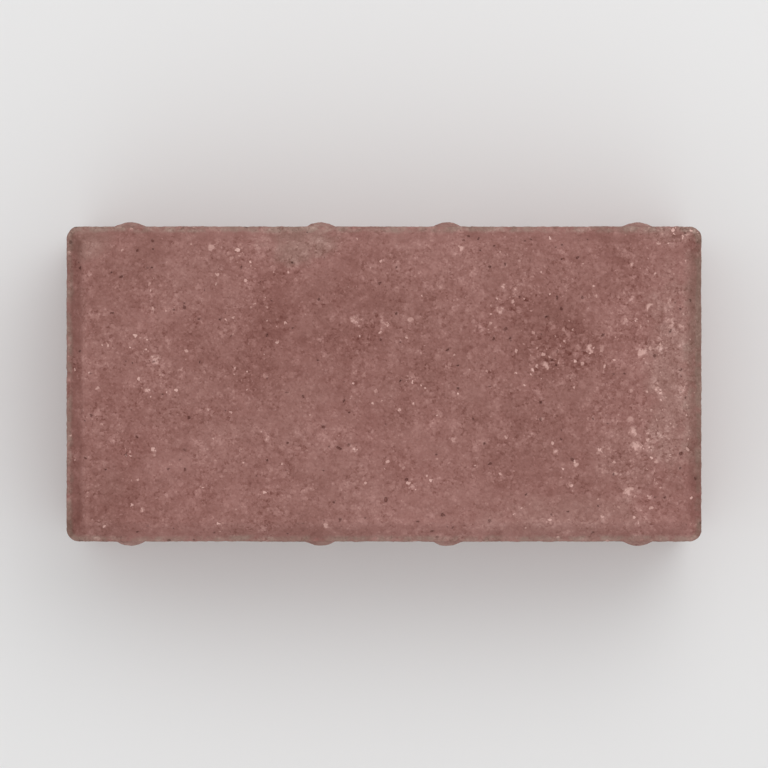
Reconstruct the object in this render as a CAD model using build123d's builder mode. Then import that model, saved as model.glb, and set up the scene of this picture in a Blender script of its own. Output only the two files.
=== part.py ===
from build123d import *
from math import atan2, degrees
import os

# A rectangular concrete paving stone, pressed in one piece. It lies on its bed
# face, with the wearing face up. Sizes are in millimetres. The origin is the
# centre of the bed face, +X runs along the stone and +Z is up.

# The stone's own size, without its spacer nibs
stone_length = 197.0
stone_width = 98.0
stone_height = 60.0
corner_radius = 4.0

# The pressed border round the wearing face: a level rim at the outside, which
# the press plate leaves because it is a little smaller than the mould, then a
# slope up to the face
rim_width = 1.0
slope_width = 5.0
slope_rise = 3.0
rim_rounding = 0.6
face_rounding = 0.9

# The spacer nibs on the long sides. The inner nibs stand this far from the
# middle of the stone, and the outer ones this far from its ends
nib_inset = 19.7
nib_width = 9.5
nib_depth = 1.5
nib_head = 4.0
nib_below_rim = 1.0

# The border's slope, from the level of the rim
slope_foot = stone_height - slope_rise
slope_angle = degrees(atan2(slope_width, slope_rise))

# A nib is the part of an upright round bar that stands out of the side. Its
# width and its depth give the bar's radius
nib_radius = ((nib_width / 2) ** 2 + nib_depth**2) / (2 * nib_depth)
nib_height = slope_foot - nib_below_rim
nib_centre_y = stone_width / 2 + nib_depth - nib_radius
nib_pair_spacing = stone_length / 2 - 2 * nib_inset


# One nib's bar, standing on the bed plane. Its head tapers back until it is
# flush with the side, where the groove in the mould runs out
with BuildPart() as nib_bar:
    with BuildSketch():
        Circle(nib_radius)
    extrude(amount=nib_height)
    head_face = nib_bar.faces().sort_by(Axis.Z)[-1]
    chamfer(head_face.edges(), length=nib_depth, length2=nib_head, reference=head_face)


with BuildPart() as paving_stone:
    # The body, from the bed face up to the level of the rim
    with BuildSketch():
        RectangleRounded(stone_length, stone_width, corner_radius)
    extrude(amount=slope_foot)

    # The slope, from inside the rim up to the wearing face. It is wider than
    # the corners are round, so the wearing face has sharp corners
    with BuildSketch(Plane.XY.offset(slope_foot)):
        RectangleRounded(stone_length, stone_width, corner_radius)
        offset(amount=-rim_width, kind=Kind.INTERSECTION, mode=Mode.REPLACE)
    extrude(amount=slope_rise, taper=slope_angle)

    # The wearing face's border is rounded over, and so is the outside of the rim
    level_faces = paving_stone.faces().filter_by(Plane.XY).sort_by(Axis.Z)
    rim_face, wearing_face = level_faces[-2:]
    fillet(wearing_face.edges(), face_rounding)
    fillet(rim_face.outer_wire().edges(), rim_rounding)

    # The spacer nibs, two pairs on each long side
    with GridLocations(stone_length / 2, 2 * nib_centre_y, 2, 2):
        with GridLocations(nib_pair_spacing, 0, 2, 1):
            add(nib_bar.part)

paving_stone.part.label = "paving_stone"

os.makedirs("parts", exist_ok=True)
export_step(paving_stone.part, "parts/paving_stone.step")
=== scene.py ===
import math
from collections import namedtuple
import bpy
import numpy as np
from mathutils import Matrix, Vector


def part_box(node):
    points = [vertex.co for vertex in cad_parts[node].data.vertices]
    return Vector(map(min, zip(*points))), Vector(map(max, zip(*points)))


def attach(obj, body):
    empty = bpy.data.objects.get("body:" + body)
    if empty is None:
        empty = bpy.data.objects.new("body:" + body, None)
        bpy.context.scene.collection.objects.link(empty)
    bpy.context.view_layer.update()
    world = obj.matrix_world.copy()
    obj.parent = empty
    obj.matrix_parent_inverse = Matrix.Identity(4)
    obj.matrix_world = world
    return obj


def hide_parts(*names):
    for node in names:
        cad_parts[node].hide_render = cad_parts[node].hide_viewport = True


# The looks of a pressed red concrete paving stone. One closed mesh takes the
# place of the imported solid. It has the same shape, with the relief of the
# concrete in it. Sizes are in millimetres, and the mesh is made in metres.

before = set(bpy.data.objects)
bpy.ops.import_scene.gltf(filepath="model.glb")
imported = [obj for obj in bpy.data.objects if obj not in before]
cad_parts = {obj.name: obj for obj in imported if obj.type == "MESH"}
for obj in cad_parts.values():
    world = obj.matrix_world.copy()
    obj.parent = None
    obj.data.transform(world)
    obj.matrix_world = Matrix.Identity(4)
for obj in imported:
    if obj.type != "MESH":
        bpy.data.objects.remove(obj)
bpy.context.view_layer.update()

# The stone's size, from the imported solid. The imported box holds the nibs too
MM = 0.001
low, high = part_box("paving_stone")
nib_depth = 1.5
half_length = float(high[0] - low[0]) / MM / 2
half_width = float(high[1] - low[1]) / MM / 2 - nib_depth
stone_height = float(high[2]) / MM
corner_radius = 4.0

# The border round the wearing face, as in the solid: a level rim, then a slope
# up to the arris, which is the edge of the face
rim_width = 1.0
slope_width = 5.0
slope_rise = 3.0
rim_rounding = 0.6
rim_level = stone_height - slope_rise
wall_top = rim_level - rim_rounding
arris_inset = rim_width + slope_width

# The spacer nibs, as in the solid. The inner ones stand this far from the
# middle of the stone, and the outer ones this far from its ends
nib_inset = 19.7
nib_places = (nib_inset, half_length - nib_inset)
nib_width = 9.5
nib_radius = ((nib_width / 2) ** 2 + nib_depth**2) / (2 * nib_depth)
nib_head = 4.0
nib_below_rim = 1.0
nib_top = rim_level - nib_below_rim

# The mesh. Its cells are twice as wide down the sides as on the wearing face,
# and four times as wide on the bed, whose edge is a narrow bevel
cell = 0.57
side_cell = 2 * cell
bed_cell = 4 * cell
columns = 4 * round(half_length / side_cell)
rows = 4 * round(half_width / side_cell)
fine_wall_rows = 4
slope_rings = 9
bed_edge = 0.5
bed_edge_inset = 0.35

# Lengths this near to each other count as equal
tolerance = 0.01

# The flat layout that the colours are baked on is a square sheet this wide. It
# holds the wearing face with its border at full size, then the sides as two
# strips and the bed, at these scales and this far apart
sheet_width = 240.0
side_scale = 0.8
bed_scale = 0.45
sheet_gap = 1.3

# About how wide the grains are: the sand, of three sizes, and the core's gravel
fine_sand_width = 0.52
sand_width = 0.95
coarse_sand_width = 2.2
gravel_width = 4.4

# The finer layer of the face ends, and the open core starts, on the way down
# from one of these heights to the other
layer_end = 48.0
core_start = 44.0

# How far the dark band of the slope, which is partly painted shade, is shifted outwards along two of the
# edges
band_shift = 0.8

# The colours, in levels of 0 to 255 as a screen shows them: the red of the
# concrete, the tan of dust and bare cement, and the pale bare grains of sand
red = (149, 102, 96)
tan = (148, 119, 109)
pale = (224, 183, 174)
highest_level = 255
screen_gamma = 2.2

# Patches of the wearing face that differ from the rest: centre, half sizes, and
# how many levels lighter it is there, how much tan lies on it and how crowded
# its bare grains are. It is smoother where they are less crowded. How much
# lighter they are is partly the stone's own tone and partly painted light,
# which makes the face lighter towards the right and the top
patches = [
    ((-34, 24), (6, 10), -8, 0.0, 0.1),
    ((-41, 8), (6, 11), -8, 0.0, 0.2),
    ((-10, 15), (9, 4), -7, 0.0, 0.0),
    ((52, 13), (11, 13), -11, 0.0, 0.5),
    ((-79, -26), (6, 10), -7, 0.0, 0.1),
    ((-61, 11), (8, 7), -6, 0.0, 0.0),
    ((71, -9), (7, 6), -5, 0.0, 0.4),
    ((37, -27), (7, 6), -5, 0.0, 0.0),
    ((-71, 27), (6, 6), 5, 0.0, 0.3),
    ((-52, 34), (14, 8), 3, 0.0, 0.0),
    ((15, 40), (30, 6), 4, 0.0, 0.0),
    ((-25, 44), (11, 6), 1, 0.45, 0.0),
    ((-92, 44), (7, 5), 1, 0.3, 0.0),
    ((88, 2), (7, 28), 6, 0.25, 0.5),
    ((80, 22), (10, 13), 3, 0.0, 0.8),
    ((62, 8), (9, 9), 0, 0.0, 0.6),
    ((37, 22), (8, 7), 0, 0.0, 0.8),
    ((-38, 35), (8, 6), 0, 0.0, 0.6),
    ((16, -38), (30, 7), 6, 0.0, -0.5),
    ((54, -38), (9, 6), 0, 0.0, -0.5),
    ((76, -24), (10, 10), 6, 0.1, 0.8),
    ((56, -41), (22, 6), 7, 0.15, 0.1),
    ((-80, -41), (18, 8), -6, 0.0, 0.0),
    ((37, 7), (9, 8), -4, 0.0, 0.0),
    ((32, -9), (30, 7), -4, 0.0, 0.1),
    ((-72, 6), (9, 12), 2, 0.0, 0.5),
    ((97, 22), (4, 24), 1, 0.4, 0.0),
    ((97, -14), (4, 14), 3, 0.35, 0.2),
    ((92, 47), (9, 4), 5, 0.2, 1.0),
]

# Where small knots of bare grains lie on the wearing face, and how far each
# reaches
knots = [
    ((-9, 20), 2.4), ((88.5, 19), 2.0), ((79.5, 9.5), 2.0), ((77, -14.5), 1.9), ((78.3, -19), 2.0),
    ((72, -28), 1.7), ((-70.5, 8), 1.9), ((-72, 23), 1.5), ((-71.5, -21), 1.6), ((-36.5, 23.5), 1.5),
    ((-36, -17), 1.6), ((-46, 5), 1.4), ((50, 5.5), 1.6), ((53, -21), 1.8), ((59, -25), 1.7),
    ((82, -35), 1.5), ((77, 37), 1.4), ((82, 24), 1.4), ((-10, -20), 1.5), ((9, -31.5), 1.7),
    ((64, 11), 1.5), ((-75, -39), 1.4), ((21, -17), 1.4), ((36, 23), 1.5), ((85, -2), 1.7),
    ((88, 26), 1.6), ((75, -33), 1.6), ((0, 19), 1.7), ((-74, -2), 1.5), ((57, -31), 1.5),
]

# The nearest grain: the distance to its middle in millimetres, and two numbers
# from 0 to 1 that it has drawn
Grain = namedtuple("Grain", "distance tone chance")


class Field:
    """A number that nodes work out at every point. Arithmetic on it adds nodes to its tree."""

    def __init__(self, tree, socket):
        self.tree = tree
        self.socket = socket

    def math(self, operation, *others):
        node = self.tree.nodes.new("ShaderNodeMath")
        node.operation = operation
        for given, socket in zip((self, *others), node.inputs):
            feed(self.tree, socket, given)
        return Field(self.tree, node.outputs[0])

    def __add__(self, other):
        return self.math("ADD", other)

    def __sub__(self, other):
        return self.math("SUBTRACT", other)

    def __mul__(self, other):
        return self.math("MULTIPLY", other)

    def __rsub__(self, other):
        return (self * -1.0) + other

    __radd__ = __add__

    def least(self, other):
        return self.math("MINIMUM", other)

    def most(self, other):
        return self.math("MAXIMUM", other)

    def size(self):
        return self.math("ABSOLUTE")

    def rise(self, start, end):
        """From 0 at start to 1 at end, smoothly. Where start is the larger, it falls from 1 to 0."""
        node = self.tree.nodes.new("ShaderNodeMapRange")
        node.interpolation_type = "SMOOTHSTEP"
        feed(self.tree, node.inputs["Value"], self)
        node.inputs["From Min"].default_value = min(start, end)
        node.inputs["From Max"].default_value = max(start, end)
        node.inputs["To Min"].default_value = float(start > end)
        node.inputs["To Max"].default_value = float(start < end)
        return Field(self.tree, node.outputs["Result"])


def feed(tree, socket, given):
    """Gives a socket a value, or links a field or an output to it."""
    if isinstance(given, Field):
        given = given.socket
    if isinstance(given, bpy.types.NodeSocket):
        tree.links.new(given, socket)
    else:
        socket.default_value = given


def vector_math(tree, operation, *given):
    """The output of a vector node that does this operation on what is given."""
    node = tree.nodes.new("ShaderNodeVectorMath")
    node.operation = operation
    for value, socket in zip(given, node.inputs):
        feed(tree, socket, value)
    return node.outputs[0]


def split(tree, vector):
    """The three numbers of a vector, as fields."""
    node = tree.nodes.new("ShaderNodeSeparateXYZ")
    feed(tree, node.inputs[0], vector)
    return [Field(tree, output) for output in node.outputs]


class Place:
    """The point that a tree works at, on the smooth stone and in millimetres, and the textures there."""

    def __init__(self, tree, vector):
        self.tree = tree
        self.vector = vector
        self.x, self.y, self.z = split(tree, vector)

    def texture(self, kind, sizes, seed):
        """A texture node with features of these sizes along X, Y and Z. The seed picks its stretch."""
        node = self.tree.nodes.new(kind)
        scales = [1 / size for size in sizes]
        shift = (31.7 * seed, 17.3 * seed, 53.9 * seed)
        spot = vector_math(self.tree, "MULTIPLY_ADD", self.vector, scales, shift)
        feed(self.tree, node.inputs["Vector"], spot)
        node.inputs["Scale"].default_value = 1.0
        return node

    def noise(self, size, seed, detail=2.0, roughness=0.5, upright=1.0):
        """Cloudy noise, mostly from -1 to 1, in blobs about size across and upright times as tall."""
        node = self.texture("ShaderNodeTexNoise", (size, size, size * upright), seed)
        node.inputs["Detail"].default_value = detail
        node.inputs["Roughness"].default_value = roughness
        return (Field(self.tree, node.outputs["Fac"]) - 0.5) * 4.0

    def grain(self, size, seed):
        """The nearest of the grains that lie about size apart."""
        node = self.texture("ShaderNodeTexVoronoi", (size, size, size), seed)
        first, second, _ = split(self.tree, node.outputs["Color"])
        return Grain(Field(self.tree, node.outputs["Distance"]) * size, first, second)

    def crooked(self, far, size, seed):
        """This place, moved by up to about far, so that what is drawn there has crooked edges."""
        node = self.texture("ShaderNodeTexNoise", (size, size, size), seed)
        node.inputs["Detail"].default_value = 1.0
        about_zero = vector_math(self.tree, "SUBTRACT", node.outputs["Color"], (0.5, 0.5, 0.5))
        reach = (far * 4, far * 4, far * 4)
        return Place(self.tree, vector_math(self.tree, "MULTIPLY_ADD", about_zero, reach, self.vector))

    def oval(self, centre, half_sizes):
        """How far out of an oval of the wearing face this place is, squared: 1 is the oval's edge."""
        across = (self.x - centre[0]) * (1 / half_sizes[0])
        up = (self.y - centre[1]) * (1 / half_sizes[1])
        return across * across + up * up


class Skin:
    """What shows on the stone's faces, for the relief and the colours alike. A feature runs from 0,
    where it isn't, to 1, unless its comment says more. A name with from in it is a distance."""

    def __init__(self, place, lighter, dusty, crowded):
        """lighter, dusty and crowded are what drift works out for this place."""
        self.place = place
        self.lighter, self.dusty, self.crowded = lighter, dusty, crowded

        # How far in from the outside of the rim, which on the slope follows from the
        # height, and how far from the edge between the sides and the bed
        from_end = half_length - place.x.size()
        from_side = half_width - place.y.size()
        nearest = from_end.least(from_side)
        climbed = (place.z - rim_level) * (slope_width / slope_rise)
        self.from_edge = climbed + rim_width + (nearest - arris_inset).most(0.0)
        self.from_bed_edge = place.z.most(nearest)

        # The sides with the bed, and the open core that shows there below the layer
        self.side = place.z.rise(rim_level - 0.2, wall_top - 0.8)
        self.core = (place.z + place.noise(9.0, seed=2) * 1.5).rise(layer_end, core_start)

        # The rim, the edge of the wearing face, the face itself, what is nearer to an
        # end than to a long side, and the nibs
        self.rim = (self.from_edge + place.noise(5.0, seed=40) * 0.45).rise(2.6, 1.0) * (1.0 - self.side)
        self.arris = (self.from_edge - (arris_inset + 0.3)).size().rise(1.5, 0.3)
        self.face = self.from_edge.rise(arris_inset - 0.8, arris_inset + 0.4)
        self.end = (from_side - from_end).rise(-0.6, 0.6)
        self.nib = (from_side * -1.0).rise(0.1, 0.5)

        # The darker band of the slope, partly its own darker tone and partly painted shade. At the right
        # and the bottom of the plan view it lies further out
        right = place.x.rise(half_length - arris_inset - 2.0, half_length - arris_inset)
        bottom = place.y.rise(arris_inset + 2.0 - half_width, arris_inset - half_width)
        from_band = self.from_edge + (right + bottom) * band_shift
        self.slope = from_band.rise(0.8, 2.0) * from_band.rise(arris_inset - 0.2, arris_inset - 2.1)

        # How thin the skin of cement is. Over 1 it has worn off the sand
        self.thin = place.noise(2.4, seed=6, detail=3.0, roughness=0.65) + crowded * 0.45
        self.worn_off = self.thin.rise(1.0, 1.4)

        # Bites out of the edges
        self.chips = place.noise(5.0, seed=9, detail=3.0, roughness=0.6).rise(0.7, 1.4)

        self.crooked = place.crooked(0.42, 1.3, seed=36)
        self.gravel = self.crooked.grain(gravel_width, seed=16)
        self.pores = self.find_pores()
        self.voids = self.find_voids()

    def find_pores(self):
        """Small open pores, few in the face and more in the sides. Their radii run from 0.1 to 0.5."""
        share = self.side * 0.04 + self.core * 0.08 + self.crowded.most(0.0).least(1.0) * 0.05 + 0.04
        distance, chance, width = self.crooked.grain(1.6, seed=1)
        return (distance - width * 0.4 - 0.1).rise(0.1, -0.1) * (share - chance).rise(0.0, 0.004)

    def find_voids(self):
        """Ragged voids between the gravel of the core, by depth. They are shallow by the bed's edge."""
        open_here = self.place.noise(1.5, seed=1.3, detail=3.0, roughness=0.6) * 0.55
        open_here = open_here + self.place.noise(14.0, seed=1.7) * 0.25
        depth = ((self.gravel.distance + open_here - 3.4) * 1.1).most(0.0).least(1.0) * self.core
        return depth * (self.from_bed_edge.rise(0.4, 3.5) * 0.8 + 0.2)


class Look(Skin):
    """The skin with what only its material shows: the tones, in levels of 0 to 255, how much of each
    colour there is, and the finest relief."""

    def __init__(self, place, lighter, dusty, crowded):
        super().__init__(place, lighter, dusty, crowded)

        # The sand
        crooked = place.crooked(0.16, 0.7, seed=20)
        self.sand = crooked.grain(sand_width, seed=21)
        self.fine_sand = crooked.grain(fine_sand_width, seed=22)
        self.coarse_sand = self.crooked.grain(coarse_sand_width, seed=23)

        # Where bare grains are crowded, where grains clump together, and where the skin
        # of cement is open. Clump and ragged run from about -1 to 1
        self.crowd = crowded.most(0.0)
        self.clump = place.noise(3.2, seed=24, roughness=0.6)
        self.open_skin = (place.noise(7.5, seed=43, roughness=0.6) + self.clump * 0.5).rise(-1.2, 1.2)
        self.ragged = place.noise(1.5, seed=38, detail=3.0, roughness=0.62)
        self.worn = self.worn_off * (self.face * 0.9 + 0.1)

        # Streaks that the mould has drawn down the sides
        self.drag = place.noise(2.6, seed=33, upright=9.0)

    def sand_tone(self):
        """The sand. Each grain has a tone of its own, a few are much darker or paler, and shade is
        painted where they meet."""
        sand, fine = self.sand, self.fine_sand
        tone = (sand.tone - 0.5) * 8.0 + (0.42 - sand.distance) * 10.0
        tone = tone + (fine.tone - 0.5) * 8.0 + (0.24 - fine.distance) * 12.0
        tone = tone + sand.tone.rise(0.86, 1.0) * 8.0 - sand.tone.rise(0.1, 0.0) * 11.0
        tone = tone + fine.tone.rise(0.91, 0.98) * 9.0 - fine.tone.rise(0.12, 0.03) * 11.0
        contrast = self.crowded.most(-0.6).least(1.2) * 0.4 + self.open_skin * 0.9 + 0.4
        return tone * (contrast - self.slope * 0.3)

    def coarse_tone(self):
        """The coarse sand. Its palest grains show most where it is crowded or the skin is open."""
        coarse = self.coarse_sand
        palest = coarse.tone.rise(0.65, 0.95) * coarse.distance.rise(1.4, 0.7)
        seen = self.crowd.least(1.0) * 8.0 + self.open_skin * 12.0 + 3.0
        return (coarse.tone - 0.75) * 5.0 + palest * seen

    def hollow_shade(self):
        """How much darker the pores, the voids and the hairline cracks are: shade painted into these
        hollows.
        """
        crack_shade = self.place.noise(2.2, seed=39, roughness=0.6).size().rise(0.28, 0.0)
        # Painted shade in the pores, deepest in the voids, and in the hairline cracks
        tone = self.pores * 26.0 + self.voids * 18.0 + self.voids.rise(0.0, 0.4) * 11.0
        return tone + crack_shade * (self.crowd.least(1.0) * 6.0 + 3.0)

    def tone(self):
        """How much lighter each point is than its own colour."""
        tone = self.sand_tone() + self.coarse_tone() - self.hollow_shade() + self.lighter
        tone = tone + self.clump * 6.0 + self.ragged * 2.0 + self.thin.rise(0.35, 1.25) * 14.0
        tone = tone + (self.gravel.tone - 0.5) * self.core * 9.0 + self.drag * self.side * 5.0
        tone = tone + self.rim * (5.0 - self.end * 6.0) + self.chips * self.rim * 6.0
        # A painted highlight along the arris. The nibs are lighter partly as worn crests and partly as
        # painted light that lifts their shade
        tone = tone + self.arris * 4.0 + self.nib * 8.0
        # The slope's dark band: partly its own darker tone, partly painted shade, most of it on the ends
        uneven = self.place.noise(7.0, seed=32) * 0.3 + 1.0
        return tone - self.slope * (self.end * 12.0 + 3.0) * uneven

    def dust(self):
        """How much of the tan lies on the red."""
        on_rim = self.rim * (self.place.noise(4.0, seed=31, detail=3.0, roughness=0.6) * 0.7 + 0.5)
        high_up = self.place.z.rise(rim_level - 9.0, rim_level)
        on_side = self.side * (high_up * 0.15 + self.drag * 0.15 + 0.08)
        return (self.dusty + on_rim + on_side + self.nib * 0.2 + 0.2).most(0.0).least(1.0)

    def bare(self):
        """How much of the pale shows. Whole grains of each size lie bare, most where they are crowded
        or the skin has worn off, and flakes where they are most crowded."""
        share = (self.crowd * 0.02 + 0.003) * (self.open_skin * 2.0 + self.clump.rise(-0.4, 1.0)) * 0.75
        share = share + self.worn * 0.04
        sand, fine, coarse = self.sand, self.fine_sand, self.coarse_sand
        grains = (share - sand.chance).rise(0.0, 0.002) * (sand.tone * 0.6 + 0.35)
        grains = grains.most((share * 0.7 - fine.chance).rise(0.0, 0.002) * (fine.tone * 0.7 + 0.25))
        wide = (share * 1.6 - coarse.chance).rise(0.0, 0.001) * coarse.distance.rise(1.25, 0.6)
        grains = grains.most(wide * (coarse.tone * 0.55 + 0.1))
        crust = self.crowded + self.ragged * 1.5
        flakes = crust.rise(1.3, 3.3) * 0.26 + crust.rise(2.5, 3.4) * 0.4
        return (grains * 0.9).most(flakes)

    def height(self):
        """The finest relief, in millimetres, which the mesh is too coarse for."""
        grains = (self.sand.tone - 0.5) * 0.06 - self.sand.distance * 0.25
        height = self.place.noise(0.6, seed=29, roughness=0.6) * 0.04 + grains
        return height - self.pores * 0.5 - self.voids * 0.5


def drift(place):
    """What changes slowly over the stone: how much lighter and dustier it is, and how crowded its bare
    grains are."""
    top = place.z.rise(rim_level - 6.0, rim_level - 3.0)
    ragged = place.noise(8.0, seed=3, detail=4.0, roughness=0.65) * 1.1
    changes = [0.0, 0.0, 0.0]
    for centre, half_sizes, *amounts in patches:
        mask = (place.oval(centre, half_sizes) + ragged).rise(1.9, 0.0) * top
        for k, amount in enumerate(amounts):
            if amount:
                changes[k] = changes[k] + mask * float(amount)
    lighter, dusty, crowded = changes

    # Slow noise of several sizes, and the knots
    for size, seed, levels in ((7.5, 25, 5.4), (20.0, 26, 4.8), (55.0, 27, 3.8)):
        lighter = lighter + place.noise(size, seed) * levels
    dusty = dusty + place.noise(26.0, seed=28, detail=3.0) * 0.055 + place.noise(7.0, seed=41) * 0.035
    crowded = crowded + place.noise(17.0, seed=7) * 0.25
    crooked = place.crooked(0.9, 2.4, seed=35)
    for centre, reach in knots:
        crowded = crowded + crooked.oval(centre, (reach, reach)).rise(1.0, 0.0) * top * 2.6
    return lighter, dusty, crowded


def relief(skin):
    """How far the surface lies inside the smooth stone, in millimetres."""
    place = skin.place
    sand = place.noise(1.6, seed=11, detail=3.0, roughness=0.6)
    lumps = place.noise(5.0, seed=12)
    swell = place.noise(30.0, seed=13)
    top = sand * 0.09 + lumps * 0.04 + swell * 0.04 + skin.worn_off * skin.face * 0.22 + 0.07

    # The sides and the bed have gravel, voids and the mould's streaks
    drag = place.noise(2.2, seed=14, detail=3.0, roughness=0.6, upright=7.0)
    packed = (skin.gravel.distance - 1.6).most(0.0) * skin.core * 0.28 + skin.voids * 1.1
    rough = skin.core * 0.5 + 1.0
    flank = (drag * 0.14 + sand * 0.12 + lumps * 0.1) * rough + swell * 0.08 + packed + 0.24

    # The rim and the arris are worn and chipped
    edge = (skin.rim + skin.arris * 0.4).least(1.0)
    worn = edge * (place.noise(2.6, seed=15, detail=3.0, roughness=0.6) * 0.22 + skin.chips * 0.9 + 0.1)

    # It is shallow by the bed's edge, where the side and the bed would cross
    depth = top * (1.0 - skin.side) + flank * skin.side + worn.most(0.0) + skin.pores * skin.face * 0.3
    return depth.most(0.0).least(skin.from_bed_edge * 0.45 + 0.35)


def dent(stone):
    """Moves the mesh's points in by the relief, along their normals, and keeps the drift with them."""
    tree = bpy.data.node_groups.new("relief", "GeometryNodeTree")
    for way in ("INPUT", "OUTPUT"):
        tree.interface.new_socket("Geometry", in_out=way, socket_type="NodeSocketGeometry")
    given, result = tree.nodes.new("NodeGroupInput"), tree.nodes.new("NodeGroupOutput")
    smooth = tree.nodes.new("GeometryNodeInputNamedAttribute")
    smooth.data_type = "FLOAT_VECTOR"
    smooth.inputs["Name"].default_value = "smooth_place"
    place = Place(tree, smooth.outputs["Attribute"])

    # The mesh keeps the drift for the material
    changes = drift(place)
    packed = tree.nodes.new("ShaderNodeCombineXYZ")
    for change, socket in zip(changes, packed.inputs):
        feed(tree, socket, change)
    keep = tree.nodes.new("GeometryNodeStoreNamedAttribute")
    keep.data_type, keep.domain = "FLOAT_VECTOR", "POINT"
    keep.inputs["Name"].default_value = "drift"
    feed(tree, keep.inputs["Geometry"], given.outputs[0])
    feed(tree, keep.inputs["Value"], packed.outputs[0])

    # The relief moves the points
    normal = tree.nodes.new("GeometryNodeInputNormal")
    inward = relief(Skin(place, *changes)) * -MM
    move = tree.nodes.new("GeometryNodeSetPosition")
    feed(tree, move.inputs["Geometry"], keep.outputs[0])
    feed(tree, move.inputs["Offset"], vector_math(tree, "MULTIPLY", normal.outputs[0], inward))
    feed(tree, result.inputs[0], move.outputs[0])

    modifier = stone.modifiers.new("relief", "NODES")
    modifier.node_group = tree
    bpy.context.view_layer.objects.active = stone
    bpy.ops.object.modifier_apply(modifier=modifier.name)


def attribute(tree, name):
    """The vector that the mesh keeps under this name."""
    node = tree.nodes.new("ShaderNodeAttribute")
    node.attribute_name = name
    return node.outputs["Vector"]


def mixed(tree, first, second, share):
    """The mix of two colours with this share of the second. A colour is an output or holds levels."""
    node = tree.nodes.new("ShaderNodeMix")
    node.data_type = "RGBA"
    for name, colour in (("A", first), ("B", second)):
        if isinstance(colour, tuple):
            colour = (*(level / highest_level for level in colour), 1)
        feed(tree, node.inputs[name], colour)
    feed(tree, node.inputs["Factor"], share)
    return node.outputs["Result"]


def concrete():
    """The material of the red concrete, with its colours and its finest grain."""
    material = bpy.data.materials.new("red_concrete_look")
    material.use_nodes = True
    tree = material.node_tree
    shader = tree.nodes["Principled BSDF"]
    place = Place(tree, attribute(tree, "smooth_place"))
    look = Look(place, *split(tree, attribute(tree, "drift")))

    base = mixed(tree, red, tan, look.dust())
    toned = vector_math(tree, "ADD", base, look.tone() * (1 / highest_level))
    shown = mixed(tree, toned, pale, look.bare())
    gamma = tree.nodes.new("ShaderNodeGamma")
    gamma.inputs["Gamma"].default_value = screen_gamma
    feed(tree, gamma.inputs["Color"], shown)
    feed(tree, shader.inputs["Base Color"], gamma.outputs[0])

    bump = tree.nodes.new("ShaderNodeBump")
    bump.inputs["Distance"].default_value = MM
    bump.inputs["Strength"].default_value = 1.0
    feed(tree, bump.inputs["Height"], look.height())
    feed(tree, shader.inputs["Normal"], bump.outputs[0])
    feed(tree, shader.inputs["Roughness"], 0.92 - look.slope * 0.08 - look.worn * 0.05)
    shader.inputs["Specular IOR Level"].default_value = 0.35
    return material


def along_side(fraction, half_side, half_across, corner):
    """Points of one side of a rounded rectangle, from the middle of a corner to that of the next."""
    straight = half_side - corner
    walked = (2 * fraction - 1) * (straight + corner * math.pi / 4)
    beyond = np.clip(np.abs(walked) - straight, 0, None)
    turn = beyond / corner if corner else beyond * 0
    along = np.sign(walked) * (np.abs(walked) - beyond + corner * np.sin(turn))
    return along, half_across - corner * (1 - np.cos(turn))


def level_grid(across, up, rings):
    """Points of a grid of across by up cells over the stone. rings has (inset, height) of its outer
    loops, and the rest is level with the last of them."""
    points = np.empty((up + 1, across + 1, 3))
    for k, (inset, height) in enumerate(rings):
        corner = max(corner_radius - inset, 0.0)
        half_x, half_y = half_length - inset, half_width - inset
        x, y = along_side(np.linspace(0, 1, across - 2 * k + 1), half_x, half_y, corner)
        for row, side in ((k, -1), (up - k, 1)):
            points[row, k : across - k + 1] = np.column_stack([x, side * y, np.full_like(x, height)])
        y, x = along_side(np.linspace(0, 1, up - 2 * k + 1), half_y, half_x, corner)
        for column, side in ((k, -1), (across - k, 1)):
            points[k : up - k + 1, column] = np.column_stack([side * x, y, np.full_like(y, height)])

    # Inside the last loop, the grid is even
    inside_x = np.linspace(-half_x, half_x, across - 2 * k + 1)[1:-1]
    inside_y = np.linspace(-half_y, half_y, up - 2 * k + 1)[1:-1]
    inside = points[k + 1 : up - k, k + 1 : across - k]
    inside[..., 0], inside[..., 1] = np.meshgrid(inside_x, inside_y)
    inside[..., 2] = height
    return points


def border_rings():
    """(inset, height) of the loops from the top of the side, over the rim and up the slope."""
    insets = [0.0, 0.3 * rim_rounding, rim_rounding]
    insets += list(np.linspace(rim_width, arris_inset, slope_rings))
    rings = []
    for inset in insets:
        short = max(rim_rounding - inset, 0.0)
        drop = rim_rounding - math.sqrt(rim_rounding**2 - short**2)
        climb = slope_rise * max(inset - rim_width, 0.0) / slope_width
        rings.append((inset, rim_level - drop + climb))
    return rings


def round_loop(grid):
    """The outer loop of a grid, anticlockwise from its first corner."""
    return np.concatenate([grid[0, :-1], grid[:-1, -1], grid[-1, :0:-1], grid[:0:-1, 0]])


def push_out_nibs(points):
    """Moves the points of the long sides out where a spacer nib stands."""
    head = np.clip((points[:, 2] - (nib_top - nib_head)) / nib_head, 0, 1)
    radius = nib_radius - nib_depth * head
    on_side = np.abs(points[:, 1]) > half_width - tolerance
    for place in nib_places:
        beside = np.abs(np.abs(points[:, 0]) - place)
        stands = np.sqrt(np.clip(radius**2 - beside**2, 0, None)) - (nib_radius - nib_depth)
        points[:, 1] += np.sign(points[:, 1]) * np.clip(stands, 0, None) * on_side


def wall_levels():
    """Heights of the fine rows, from the rim down, and of the coarse ones, down to the bed's edge."""
    fine = wall_top - cell * np.arange(1, fine_wall_rows + 1)
    start, end = fine[-1] - 1.5 * cell, bed_edge + side_cell
    coarse = np.linspace(start, end, round((start - end) / side_cell) + 1)
    return fine, coarse


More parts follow.
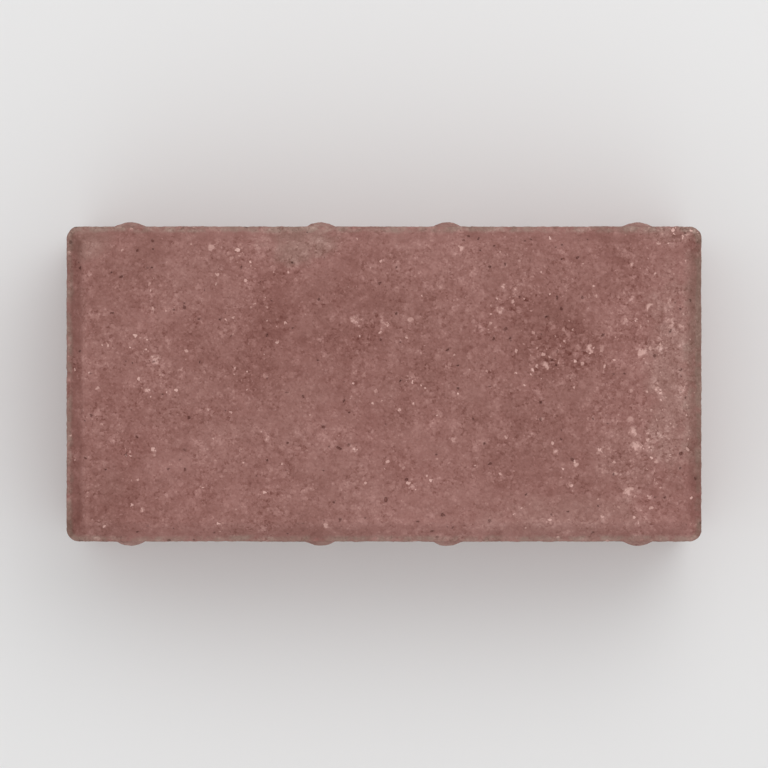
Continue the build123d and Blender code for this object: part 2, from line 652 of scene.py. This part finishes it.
class Shell:
    """The stone's mesh while it is put together: its points, its faces, the sheet of the flat layout
    that each face lies on, and the loops of points round its sides."""

    def __init__(self):
        self.points = []
        self.faces = []
        self.sheets = []
        self.loops = []
        self.count = 0

    def add(self, points):
        """Keeps these points and returns their numbers."""
        self.points.append(points)
        self.count += len(points)
        return np.arange(self.count - len(points), self.count)

    def join(self, *corners, sheet="sides"):
        """Adds a face for each row of these corners. The faces lie on this sheet of the flat layout."""
        self.faces += np.column_stack([numbers.ravel() for numbers in corners]).tolist()
        self.sheets += [sheet] * corners[0].size

    def band(self, upper, lower):
        """Joins two loops, one above the other. The lower has as many points, or half as many."""
        above, below = np.roll(upper, -1), np.roll(lower, -1)
        if len(upper) == len(lower):
            self.join(upper, lower, below, above)
            return
        first, middle, last = upper[::2], upper[1::2], np.roll(upper[::2], -1)
        self.join(first, lower, middle)
        self.join(middle, lower, below)
        self.join(middle, below, last)


def unfolded(points, shell, way):
    """Where each face's corners lie on the flat layout. way has how far round the stone each point of
    the finest loop is, and the whole way round at its end."""
    corners = np.concatenate(shell.faces)
    counts = [len(face) for face in shell.faces]
    firsts = np.cumsum([0] + counts[:-1])
    sheets = np.repeat(shell.sheets, counts)
    x, y, z = points[corners].T

    # The sides are two strips of half the way round each. A face that spans the
    # start of the loops has corners that lie the whole way round
    walked = np.zeros(len(points))
    for loop in shell.loops:
        walked[loop] = way[: -1 : len(way) // len(loop)]
    walked, half_way = walked[corners], way[-1] / 2
    start = np.repeat(np.minimum.reduceat(walked, firsts), counts)
    end = np.repeat(np.maximum.reduceat(walked, firsts), counts)
    walked += way[-1] * ((end - start > half_way) & (walked < half_way))
    second = np.repeat(np.minimum.reduceat(walked, firsts), counts) > half_way - tolerance
    strip = side_scale * rim_level + sheet_gap

    # From the foot of the sheet up: the bed, the strips and the wearing face
    across, up = x + half_length, y + half_width
    bed_top = 2 * sheet_gap + 2 * half_width * bed_scale
    layout = np.column_stack([across, up + bed_top + 2 * strip])
    on_bed, on_side = sheets == "bed", sheets == "sides"
    layout[on_bed] = (np.column_stack([across, up]) * bed_scale + (0, sheet_gap))[on_bed]
    sides = np.column_stack([walked - half_way * second, z]) * side_scale
    sides[:, 1] += bed_top + second * strip
    layout[on_side] = sides[on_side]
    layout[:, 0] += sheet_gap
    return layout / sheet_width


def stone_mesh():
    """The stone's points in millimetres, its faces, and where their corners lie on the flat layout."""
    shell = Shell()

    # The border and the wearing face
    grid = level_grid(columns, rows, border_rings())
    numbers = shell.add(grid.reshape(-1, 3)).reshape(grid.shape[:2])
    shell.join(numbers[:-1, :-1], numbers[:-1, 1:], numbers[1:, 1:], numbers[1:, :-1], sheet="top")

    # The sides, with half as many columns below the fine rows and a quarter as
    # many along the bed's edge
    loop = round_loop(numbers)
    shell.loops.append(loop)
    outline = round_loop(grid)
    steps = np.diff(outline, axis=0, append=outline[:1])
    way = np.append(0.0, np.cumsum(np.hypot(steps[:, 0], steps[:, 1])))
    fine, coarse = wall_levels()
    for step, levels in ((1, fine), (2, coarse), (4, [bed_edge])):
        for height in levels:
            points = outline[::step].copy()
            points[:, 2] = height
            push_out_nibs(points)
            below = shell.add(points)
            shell.band(loop, below)
            shell.loops.append(below)
            loop = below

    # The bed, with as many columns as its edge
    bed_rings = [(inset, 0.0) for inset in (bed_edge_inset, bed_cell, 2 * bed_cell)]
    bed = level_grid(columns // 4, rows // 4, bed_rings)
    numbers = shell.add(bed.reshape(-1, 3)).reshape(bed.shape[:2])
    shell.loops.append(round_loop(numbers))
    shell.band(loop, round_loop(numbers))
    shell.join(numbers[:-1, :-1], numbers[1:, :-1], numbers[1:, 1:], numbers[:-1, 1:], sheet="bed")
    points = np.concatenate(shell.points)
    return points, shell.faces, unfolded(points, shell, way)


def make_stone():
    """The stone, with its relief and its concrete."""
    points, faces, layout = stone_mesh()
    mesh = bpy.data.meshes.new("pressed_stone")
    mesh.from_pydata((points * MM).tolist(), [], faces)
    smooth = mesh.attributes.new("smooth_place", "FLOAT_VECTOR", "POINT")
    smooth.data.foreach_set("vector", points.ravel())
    mesh.uv_layers.new(name="OFBake").data.foreach_set("uv", layout.ravel())
    stone = bpy.data.objects.new("pressed_stone", mesh)
    bpy.context.scene.collection.objects.link(stone)
    dent(stone)
    stone.data.shade_smooth()
    stone.data.set_sharp_from_angle(angle=math.radians(70))
    stone.data.materials.append(concrete())
    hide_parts("paving_stone")
    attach(stone, "root")


def make_floor():
    """A wide, plain and pale floor."""
    floor_width = 8.0
    bpy.ops.mesh.primitive_plane_add(size=floor_width)
    floor = bpy.context.object
    floor.name = "floor"
    material = bpy.data.materials.new("floor")
    material.use_nodes = True
    shader = material.node_tree.nodes["Principled BSDF"]
    shader.inputs["Base Color"].default_value = (0.82, 0.82, 0.82, 1)
    shader.inputs["Roughness"].default_value = 0.9
    floor.data.materials.append(material)


def make_light():
    """An even white sky and one broad soft lamp, at the top of the picture and a little to the right."""
    world = bpy.data.worlds.new("world")
    world.use_nodes = True
    bpy.context.scene.world = world
    sky = world.node_tree.nodes["Background"]
    sky.inputs["Color"].default_value = (1, 1, 1, 1)
    sky.inputs["Strength"].default_value = 0.84

    lamp = bpy.data.objects.new("lamp", bpy.data.lights.new("lamp", "AREA"))
    lamp.data.shape = "DISK"
    lamp.data.size = 0.9
    lamp.data.energy = 2.9
    lamp.location = (0.3, 0.6, 1.0)
    to_stone = lamp.location * -1
    lamp.rotation_euler = to_stone.to_track_quat("-Z", "Y").to_euler()
    bpy.context.scene.collection.objects.link(lamp)


def make_camera():
    """A long lens that looks straight down, with the stone's length across the picture."""
    camera = bpy.data.objects.new("camera", bpy.data.cameras.new("camera"))
    camera.data.lens = 250
    share_of_width = 0.83
    picture = 2 * half_length * MM / share_of_width
    camera.location = (0, 0, stone_height * MM + picture * camera.data.lens / camera.data.sensor_width)
    bpy.context.scene.collection.objects.link(camera)
    bpy.context.scene.camera = camera


make_stone()
make_floor()
make_light()
make_camera()
bpy.context.scene.view_settings.view_transform = "Standard"
